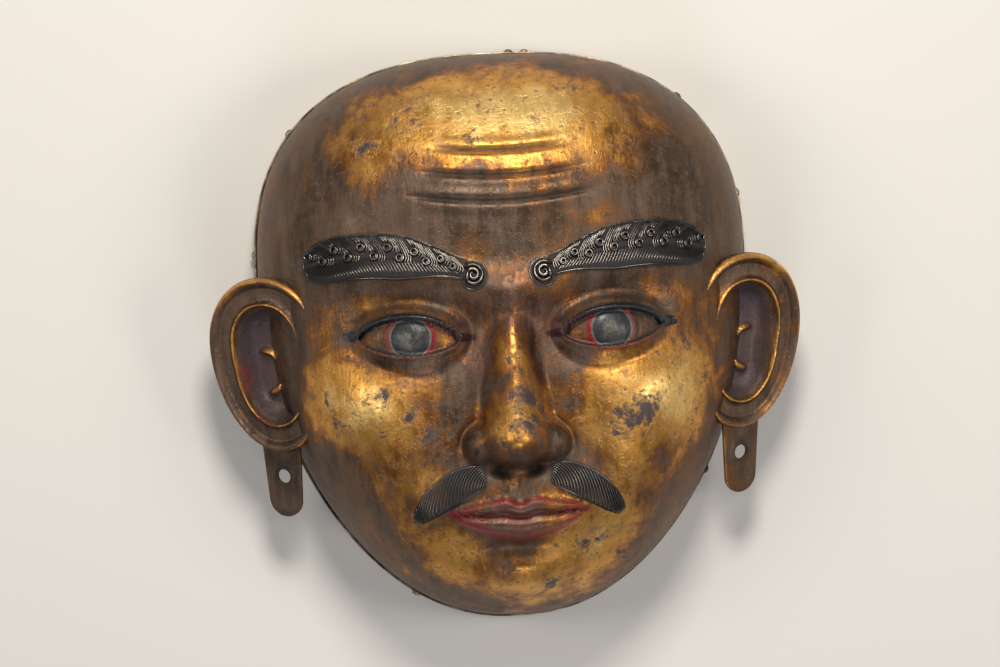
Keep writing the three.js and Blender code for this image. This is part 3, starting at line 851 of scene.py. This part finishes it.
# Each lock is a comma: its strands come down from the brow's top edge and wrap round the ring at the end
def browLocks(sign):
    lines = []
    top = hair["topEnd"]
    for lock in range(hair["locks"]):
        u = (lock + 0.66) / (hair["locks"] + 0.6)
        bottom = hair["upperRow"] if lock % 2 else hair["lowerRow"]
        size = hair["curlRadius"] * (0.8 + 0.2 * ease(u / 0.3))
        for strand in range(hair["strandsInLock"]):
            t = np.linspace(0, 1, 12)
            out = strand * hair["strandGap"]
            along = u + hair["lean"] * (top - bottom) * (1 - t) ** 1.4 - out / brow["length"]
            x, y = browPoint(np.clip(along, 0.005, 0.99), top + (bottom - top) * t)
            turns = 0.2 - 0.035 * strand if strand else hair["curlTurns"]
            turn = np.linspace(0.0, 1, 22)[1:] * turns * 2 * np.pi
            ring = (size + out) * (1 - (0 if strand else 0.55) * (turn / turn[-1]) ** 2)
            x = np.concatenate([x, x[-1] + size + out - ring * np.cos(turn)])
            y = np.concatenate([y, y[-1] - ring * np.sin(turn)])
            lift = np.full(33, 1.0 - 0.2 * strand)
            radius = taperEnds(np.linspace(0, 1, 33), hair["strandRadius"])
            if strand == 0:  # the innermost strand ends in the ring
                reach = np.minimum(np.arange(33) / 11, 1)
                radius = 0.35 + (hair["curlThick"] - 0.35) * reach
                lift = 0.5 + (hair["curlLift"] - 0.5) * reach
            lines.append((sign * x, y, lift, radius))
        for k in (1, 2, 3):  # strands that end above the ring
            t = np.linspace(0, 1, 10)
            end = bottom + (size + 1.6 - 0.5 * k) / brow["halfWidth"]
            lean = hair["lean"] * ((top - bottom) * (1 - t) ** 1.4 - 0.02 * t)
            along = u + lean + k * hair["strandGap"] / brow["length"]
            x, y = browPoint(np.clip(along, 0.005, 0.985), top + (end - top) * t)
            lines.append((sign * x, y, np.full(10, 0.7), taperEnds(t, hair["strandRadius"])))
    return lines


def browFineLines(sign):
    lines = []
    for k in range(hair["fineLines"]):
        u = 0.04 + 0.93 * k / (hair["fineLines"] - 1)
        t = np.linspace(0, 1, 14)
        su = np.clip(u + 0.05 * (1 - t) ** 1.2 - 0.02 * t**2, 0.004, 0.996)
        x, y = browPoint(su, -0.02 - 0.74 * t)
        lines.append((sign * x, y, np.full(14, 0.3), taperEnds(t, hair["fineRadius"])))
    t = np.linspace(0.0, 0.985, 60)
    for level, radius in ((-0.95, 0.8), (0.98, 0.55)):
        x, y = browPoint(t, np.full(60, level))
        lines.append((sign * x, y, np.full(60, 0.2), taperEnds(t, radius)))
    end = np.linspace(-0.93, 0.97, 14)
    bulge = 0.985 + 0.012 * np.sqrt(np.maximum(1 - end**2, 0))
    x, y = browPoint(bulge, end)
    lines.append((sign * x, y, np.full(14, 0.2), np.full(14, 0.5)))
    return lines


def voluteLines(sign):
    lines = []
    turn = np.linspace(0, 1, 70)
    spirals = [  # size, turns, how far it winds in, thickness, lift at the start and gained
        (1.0, volute["turns"], 0.84, 1.35, 0.9, 1.2),
        (1.28, 0.8, 0.06, 0.55, 0.2, 0.0),
    ]
    for grow, turns, windIn, thick, low, gained in spirals:
        angle = (turn * turns + 0.12) * 2 * np.pi
        size = volute["radius"] * grow * (1 - windIn * turn**0.9)
        x = volute["x"] + size * np.cos(angle)
        y = voluteHeight() + size * np.sin(angle)
        lines.append((sign * x, y, low + gained * turn, taperEnds(turn, thick, 0.55)))
    return lines


# Strands combed down and outwards, from the tuft's upper edge to its lower one
def tuftLines(sign):
    lines = []
    t = np.linspace(0, 1, 40)
    for share in np.linspace(0, 1, hair["tuftStrands"]):
        u = 0.93 * share - 0.3 * (1 - share) + hair["tuftSlant"] * t + 0.04 * np.sin(np.pi * t)
        inside = (u > 0.012) & (u < 0.985)
        if inside.sum() > 4:
            x, y = tuftPoint(u[inside], 0.93 - 1.86 * t[inside])
            thick = taperEnds(np.linspace(0, 1, len(x)), hair["tuftRadius"])
            lines.append((sign * x, y, np.full(len(x), 0.25), thick))
    for level in (0.97, -0.97):
        x, y = tuftPoint(np.linspace(0.02, 0.97, 40), np.full(40, level))
        lines.append((sign * x, y, np.full(40, 0.2), taperEnds(t, 0.6)))
    return lines


strandGroup = strandTree(hairMaterial())
for word, sign in (("left", 1), ("right", -1)):
    browStrands = browLocks(sign) + browFineLines(sign) + voluteLines(sign)
    browHair = strandPiece(word + "BrowHair", browStrands, strandGroup)
    tuftHair = strandPiece(word + "TuftHair", tuftLines(sign), strandGroup)
    for piece in (browHair, tuftHair):
        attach(piece, "root")
    print(word, "hair built:", len(browHair.data.polygons) + len(tuftHair.data.polygons), "faces")


# Ears: a plate in its own frame (a outwards, b up, c forwards) with a rolled rim, a fold and a deep bowl
ear = {
    "half": 59.0,
    "reach": 43.5,
    "middle": 13.0,
    "centreY": -11.5,
    "rootHeight": 67.0,
    "flare": 28.0,
    "tilt": 10.0,
    "lean": 9.0,
    "wall": 2.6,
    "rimWidth": 7.0,
    "rimRise": 4.5,
    "fold": 18.0,
    "foldRise": 2.5,
    "bowl": 11.0,
    "around": 300,
    "outline": 2.1,  # 2 would be an ellipse
}
lobe = {
    "middle": 10.0,
    "width": 31.0,
    "length": 70.0,
    "top": -36.58,
    "cut": -44.0,  # it starts under the plate
    "front": -1.17,
    "tilt": 3.0,
    "holeAt": 0.4,
    "hole": 4.75,
    "around": 120,
}


def earRelief(distance, a, b):
    roll = clamp(distance / ear["rimWidth"])
    rise = ear["rimRise"] * np.sin(np.pi * roll**0.8)
    rise += (ear["foldRise"] + 0.8) * bell(distance - ear["fold"], 1.7)
    rise -= ear["bowl"] * ease((distance - ear["fold"]) / 11)
    for share, turn, bow in ((0.12, 0.6, -0.05), (-0.3, -0.5, 0.03)):
        out, up = a - 1.25 * ear["middle"], b - ear["half"] * share
        along = out * math.cos(turn) + up * math.sin(turn)
        across = up * math.cos(turn) - out * math.sin(turn) - bow * along**2
        rise += 4.5 * np.exp(-((along / 7) ** 4) - (across / 2.0) ** 2)
    return rise


def earRows(psi, shares, back):
    power = ear["outline"]
    radius = np.abs(np.cos(psi) / ear["reach"]) ** power + np.abs(np.sin(psi) / ear["half"]) ** power
    radius = radius ** (-1 / power)
    rows, far = [], []
    for share in shares:
        distance = (1 - share) * radius
        b = share * radius * np.sin(psi)
        a = ear["middle"] + share * radius * np.cos(psi) * (1 + 0.12 * b / ear["half"])
        if back:
            c = -ear["bowl"] * ease((distance - ear["fold"] + ear["wall"]) / 12) - ear["wall"]
        else:
            c = earRelief(distance, a, b)
        rows.append(np.stack([a, b, c], axis=-1))
        far.append(distance)
    return np.array(rows), np.array(far)


# Turned first in its plane, then back by the flare and the tilt
def rotate(points, lean):
    turn, flare, tilt = (math.radians(v) for v in (lean, ear["flare"], ear["tilt"]))
    a = points[..., 0] * math.cos(turn) + points[..., 1] * math.sin(turn)
    b = points[..., 1] * math.cos(turn) - points[..., 0] * math.sin(turn)
    c = points[..., 2]
    x = a * math.cos(flare) + c * math.sin(flare)
    z = c * math.cos(flare) - a * math.sin(flare)
    y = b * math.cos(tilt) - z * math.sin(tilt)
    return np.stack([x, y, b * math.sin(tilt) + z * math.cos(tilt)], axis=-1)


# Where the plate leaves the head
def earRoot():
    x = np.arange(60.0, 160.0, 0.5)
    level = heightAt(x, np.full_like(x, ear["centreY"]))
    return float(x[level > ear["rootHeight"]][-1])


# Points inside the head are moved along the plate to just under the sheet's outer face
def emerge(points):
    way = rotate(np.array([1.0, 0.0, 0.0]), 0)
    low = np.zeros(points.shape[:-1])
    high = np.full(points.shape[:-1], 70.0)

    def buried(step):
        at = points + step[..., None] * way
        return heightAt(at[..., 0], at[..., 1]) - 1.0 > at[..., 2]

    inside = buried(low)
    for _ in range(18):
        middle = (low + high) / 2
        hidden = buried(middle)
        low = np.where(hidden, middle, low)
        high = np.where(hidden, high, middle)
    return points + np.where(inside, high, 0)[..., None] * way


def lobeRadius(phi, centreB):
    half = lobe["width"] / 2
    toe = half * 0.8
    bottom = lobe["top"] - lobe["length"]
    low = np.zeros_like(phi)
    high = np.full_like(phi, 120.0)
    for _ in range(30):
        middle = (low + high) / 2
        a = middle * np.cos(phi)
        b = centreB + middle * np.sin(phi)
        straight = toe + (half - toe) * clamp((b - bottom - toe) / (lobe["length"] - toe))
        curved = np.sqrt(np.maximum(toe**2 - (b - bottom - toe) ** 2, 0)) * (b > bottom)
        inside = (np.abs(a) < np.where(b > bottom + toe, straight, curved)) & (b < lobe["cut"])
        low = np.where(inside, middle, low)
        high = np.where(inside, high, middle)
    return low


def lobeRings():
    phi = np.linspace(0, 2 * np.pi, lobe["around"], endpoint=False)
    centreB = lobe["top"] - lobe["length"] * (1 - lobe["holeAt"])
    outline = lobeRadius(phi, centreB)
    hole = np.full_like(phi, lobe["hole"])
    rings = [(outline, 0.55), (outline - 0.45, 0.85), (outline - 1.2, 1.0)]  # radius, share of half the wall
    for share in (0.25, 0.5, 0.75):
        rings.append((outline + (hole - outline) * share, 1.0 - 0.35 * math.sin(math.pi * share)))
    rings += [(hole + 1.4, 1.25), (hole + 0.3, 0.95), (hole, 0.5), (hole, -0.5), (hole + 0.3, -1.0)]
    rings += [((outline + hole) / 2, -1.0), (outline - 1.2, -1.0), (outline - 0.45, -0.85), (outline, -0.55)]
    tilt = math.radians(lobe["tilt"])
    made = []
    for radius, level in rings:
        c = lobe["front"] + (level - 1) * ear["wall"] / 2
        hang = centreB + radius * np.sin(phi) - lobe["top"]
        b = lobe["top"] + hang * math.cos(tilt) - c * math.sin(tilt)
        a = lobe["middle"] + radius * np.cos(phi)
        made.append(np.stack([a, b, c * math.cos(tilt) + hang * math.sin(tilt)], axis=-1))
    return np.array(made)


def earMaterial():
    shader = Shader("earBronze")
    noise, step, blend, number, times = shader.noise, shader.step, shader.blend, shader.number, shader.times
    layers = gildedLayers(shader, shader.attribute("gold"), shader.attribute("cavityShade"), 0.0)
    colour, rough, metal, height = layers
    uneven = step(noise(30.0, 5.0), 0.3, 0.7, to=0.95, start=0.45)
    bowl = times(shader.attribute("bowl"), uneven)
    violet = blend(noise(45.0, 5.0), (0.032, 0.019, 0.025, 1), (0.1, 0.066, 0.078, 1))
    spot = times(shader.attribute("spot"), step(noise(120.0, 5.0), 0.36, 0.56))
    colour = blend(spot, blend(bowl, colour, violet), finish["red"])
    metal = number(spot, number(bowl, metal, 0.3), 0.1)
    return shader.dress(colour, number(bowl, rough, 0.5), metal, height, **grainBump)


def joined(name, pieces):
    points, faces = [], []
    values = {key: [] for key in ("gold", "cavityShade", "bowl", "spot")}
    for piece in pieces:
        faces += [[v + len(points) for v in polygon.vertices] for polygon in piece.data.polygons]
        points += [vertex.co[:] for vertex in piece.data.vertices]
        for key, kept in values.items():
            kept += [item.value for item in piece.data.attributes[key].data]
        bpy.data.objects.remove(piece)
    whole = meshObject(name, points, faces=faces)
    for key, kept in values.items():
        keepAttribute(whole, key, kept)
    return whole


def plateValues(front, far, sign):
    up = front[..., 1]
    rim = bell(far - 1.4, 1.6) * (0.45 + 0.55 * clamp(np.abs(up) / 45))
    fold = bell(far - ear["fold"], 1.3)
    knobs = clamp((front[..., 2] + ear["bowl"] - 0.6) / 2.5) * (far > 30)
    bowl = ease((far - ear["fold"] - 2) / 4) * (1 - knobs)
    gold = -0.05 + 0.85 * rim + 0.85 * fold + knobs + 0.45 * bell(far - 5, 4) * bell(up - 50, 18)
    # painted shade inside the rolled rim, beside the fold and over the bowl
    paintedShade = 0.45 * bell(far - 9.5, 2.8) + 0.5 * bell(far - ear["fold"] - 4.5, 2.4) + 0.3 * bowl
    beside = bell(far - ear["fold"] - 3, 2.2) * bell(up + 6, 9)  # red left beside the fold of one ear
    under = bell(far - ear["fold"] + 0.5, 1.5) * bell(up + 36, 5)
    spot = (beside + under) * (front[..., 0] > ear["middle"]) * (sign < 0)
    return {"gold": (gold, 0.1), "cavityShade": (paintedShade, 0.3), "bowl": (bowl, 0.0), "spot": (spot, 0.0)}


def earPiece(word, sign, material):
    psi = np.linspace(0, 2 * np.pi, ear["around"], endpoint=False)
    frontShares = np.concatenate([np.linspace(0.03, 0.6, 18), np.linspace(0.6, 1.0, 40)[1:]])
    backShares = np.concatenate([[0.998], np.linspace(0.985, 0.05, 24)])
    front, far = earRows(psi, frontShares, False)
    back = earRows(psi, backShares, True)[0]
    root = np.array([earRoot(), ear["centreY"], ear["rootHeight"]])
    middle = np.array([[ear["middle"], 0, -ear["bowl"]], [ear["middle"], 0, -ear["bowl"] - ear["wall"]]])
    rings = emerge(rotate(np.concatenate([front, back]), ear["lean"]) + root)
    poles = emerge(rotate(middle, ear["lean"]) + root)
    tongue = rotate(lobeRings(), 0) + root
    inner = np.cos(np.linspace(0, 2 * np.pi, lobe["around"], endpoint=False)) * np.ones((len(tongue), 1))
    if sign < 0:
        rings, poles, tongue = (v * np.array([-1, 1, 1]) for v in (rings, poles, tongue))
        rings, tongue, far, front, inner = (v[:, ::-1] for v in (rings, tongue, far, front, inner))
    plate = closedMesh(word + "Plate", rings, poles)
    keepValues(plate, plateValues(front, far, sign))
    tongueRow = np.arange(len(tongue))[:, None] + 0 * inner
    edgeGold = np.where(tongueRow < 2, 0.7, np.where(tongueRow < 4, 0.35, 0.0)) * ease((-inner - 0.1) / 0.5)
    # painted shade: darkest round the lobe's hole, and over the rest of the lobe, which hangs behind the rim
    paintedShade = np.where((tongueRow > 5) & (tongueRow < 11), 0.75, 0.42)
    tongue = closedMesh(word + "Lobe", tongue)
    none = ([], 0.0)
    keepValues(tongue, {"gold": (edgeGold - 0.1, 0.0), "cavityShade": (paintedShade, 0.0), "bowl": none, "spot": none})
    whole = joined(word + "Ear", [plate, tongue])
    whole.data.materials.append(material)
    return whole


earBronze = earMaterial()
for word, sign in (("left", 1), ("right", -1)):
    earWhole = earPiece(word, sign, earBronze)
    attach(earWhole, "root")
    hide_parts(word + "_ear")
    print(word, "ear built:", len(earWhole.data.polygons), "faces")


def wornMetal(name, tint, shade):
    shader = Shader(name)
    colour = shader.blend(shader.step(shader.noise(60.0, 6.0, 0.65), 0.38, 0.64), shade, tint)
    rough = shader.step(shader.noise(180.0), 0.3, 0.7, to=0.55, start=0.34)
    return shader.dress(colour, rough, 0.9, shader.noise(220.0, 5.0), 0.0005, 0.6)


band = {"gap": 0.3, "thick": 2.0, "low": 1.5, "high": 12.0, "corner": 0.5, "around": 480}


def bandPiece():
    theta = np.linspace(0, 2 * np.pi, band["around"], endpoint=False)
    inner, outer = band["gap"], band["gap"] + band["thick"]
    low, high, cut = band["low"], band["high"], band["corner"]
    corners = [
        (inner + 0.1, high),
        (outer - cut, high),
        (outer - 0.15, high - 0.15),
        (outer, high - cut),
        (outer, (low + high) / 2),
        (outer, low + cut),
        (outer - cut, low),
        (inner, low),
    ]
    wave = 0.18 * np.sin(theta * 23 + 1.1) + 0.12 * np.sin(theta * 41)
    rings = [edgeRing(theta, distance, level) for distance, level in corners]
    for ring in rings[:3]:  # the upper edge is a little wavy
        ring[:, 2] -= 0.3 + wave
    piece = closedMesh("edgeBand", rings)
    piece.data.materials.append(wornMetal("bandMetal", (0.42, 0.33, 0.22, 1), (0.12, 0.09, 0.065, 1)))
    return piece


edgeBand = bandPiece()
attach(edgeBand, "root")
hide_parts("edge_band")
print("edge band built")

rivet = {"angles": (-46.5, 14, 40.5, 80.5, 84.8, 145.5, 175, 250.5), "level": 6.5, "radius": 3.2, "rise": 2.2}


def rivetTree(material):
    inputs = [("Head Radius", "NodeSocketFloat", 0.003), ("Head Rise", "NodeSocketFloat", 0.002)]
    group, bench, start = nodeGroup("rivetHeads", inputs)
    dome = bench.add("GeometryNodeMeshUVSphere", {"Segments": 20, "Rings": 10}).outputs["Mesh"]
    sockets = {"X": start["Head Radius"], "Y": start["Head Radius"], "Z": start["Head Rise"]}
    size = bench.add("ShaderNodeCombineXYZ", sockets).outputs[0]
    shaped = bench.add("GeometryNodeTransform", {"Geometry": dome, "Scale": size}).outputs["Geometry"]
    smooth = bench.add("GeometryNodeSetShadeSmooth", {"Geometry": shaped}).outputs["Geometry"]
    facing = bench.add("GeometryNodeInputNamedAttribute", {"Name": "facing"}, data_type="FLOAT_VECTOR")
    turn = bench.add("FunctionNodeAlignRotationToVector", {"Vector": facing.outputs["Attribute"]}, axis="Z")
    sockets = {"Points": start["Geometry"], "Instance": smooth, "Rotation": turn.outputs["Rotation"]}
    heads = bench.add("GeometryNodeInstanceOnPoints", sockets).outputs["Instances"]
    endGroup(bench, heads, material)
    return group


def rivetPiece():
    theta = np.radians(rivet["angles"])
    places = [edgeRing(theta, off, rivet["level"]) for off in (band["gap"] + band["thick"], -head["wall"])]
    facing = np.column_stack([edgeFacing(theta), np.zeros(len(theta))])
    piece = meshObject("rivets", toMetres(np.vstack(places)))
    layer = piece.data.attributes.new("facing", "FLOAT_VECTOR", "POINT")
    layer.data.foreach_set("vector", np.vstack([facing, -facing]).astype(np.float32).ravel())
    group = rivetTree(wornMetal("rivetMetal", (0.5, 0.4, 0.26, 1), (0.14, 0.1, 0.07, 1)))
    settle(piece, group, {"Head Radius": rivet["radius"] * part, "Head Rise": rivet["rise"] * part})
    return piece


rivets = rivetPiece()
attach(rivets, "root")
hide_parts(*[f"rivet_{i + 1}" for i in range(len(rivet["angles"]))])
print("rivets built")

studio = {
    "floorColour": (0.72, 0.7, 0.67, 1),
    "floorReach": 6.0,
    "floorLevel": -0.0003,
    "world": (0.32, 0.33, 0.36, 1),
    "worldStrength": 0.35,
    "lights": [  # place, aimed at, size, watts, colour
        ((0.05, 0.95, 1.15), (0, 0.03, 0.08), 0.45, 17, (1.0, 0.95, 0.86)),
        ((-1.05, 0.1, 0.95), (0, -0.02, 0.08), 0.5, 5, (1.0, 0.93, 0.84)),
        ((1.0, -0.1, 1.0), (0, -0.02, 0.08), 0.5, 6, (1.0, 0.93, 0.84)),
        ((0.0, -1.1, 0.8), (0, -0.1, 0.05), 0.6, 4, (0.9, 0.94, 1.0)),
    ],
}


def floorPiece():
    reach, level = studio["floorReach"], studio["floorLevel"]
    corners = [(-reach, -reach, level), (reach, -reach, level), (reach, reach, level), (-reach, reach, level)]
    floor = meshObject("floor", corners, faces=[(0, 1, 2, 3)])
    floor.data.materials.append(Shader("paleFloor").dress(studio["floorColour"], 0.85, 0.0))
    return floor


floorPiece()
for number, (place, target, size, watts, colour) in enumerate(studio["lights"]):
    lamp = bpy.data.lights.new(f"softLight{number}", "AREA")
    lamp.shape = "DISK"
    lamp.size = size
    lamp.energy = watts
    lamp.color = colour
    lampObject = newObject(f"softLight{number}", lamp)
    lampObject.location = place
    lampObject.rotation_euler = (Vector(place) - Vector(target)).to_track_quat("Z", "Y").to_euler()

world = bpy.data.worlds.new("studio")
world.use_nodes = True
world.node_tree.nodes["Background"].inputs[0].default_value = studio["world"]
world.node_tree.nodes["Background"].inputs[1].default_value = studio["worldStrength"]
bpy.context.scene.world = world
bpy.context.scene.view_settings.view_transform = "Standard"

# The camera looks down on the lying mask, a little from its right, and turned as the photograph is
view = {
    "distance": 2.0,
    "frameWidth": 0.666,
    "sensor": 36.0,
    "target": (-0.0047, -0.0007, 0.06),
    "yaw": math.radians(2.2),
    "roll": math.radians(3.0),
}
camera = bpy.data.cameras.new("camera")
camera.sensor_width = view["sensor"]
camera.lens = view["sensor"] * view["distance"] / view["frameWidth"]
cameraObject = newObject("camera", camera)
out = Vector((-math.sin(view["yaw"]), 0, math.cos(view["yaw"])))
level = Vector((math.cos(view["yaw"]), 0, math.sin(view["yaw"])))
right = level * math.cos(view["roll"]) - out.cross(level) * math.sin(view["roll"])
cameraObject.location = Vector(view["target"]) + out * view["distance"]
cameraObject.rotation_euler = Matrix((right, out.cross(right), out)).transposed().to_euler()
bpy.context.scene.camera = cameraObject
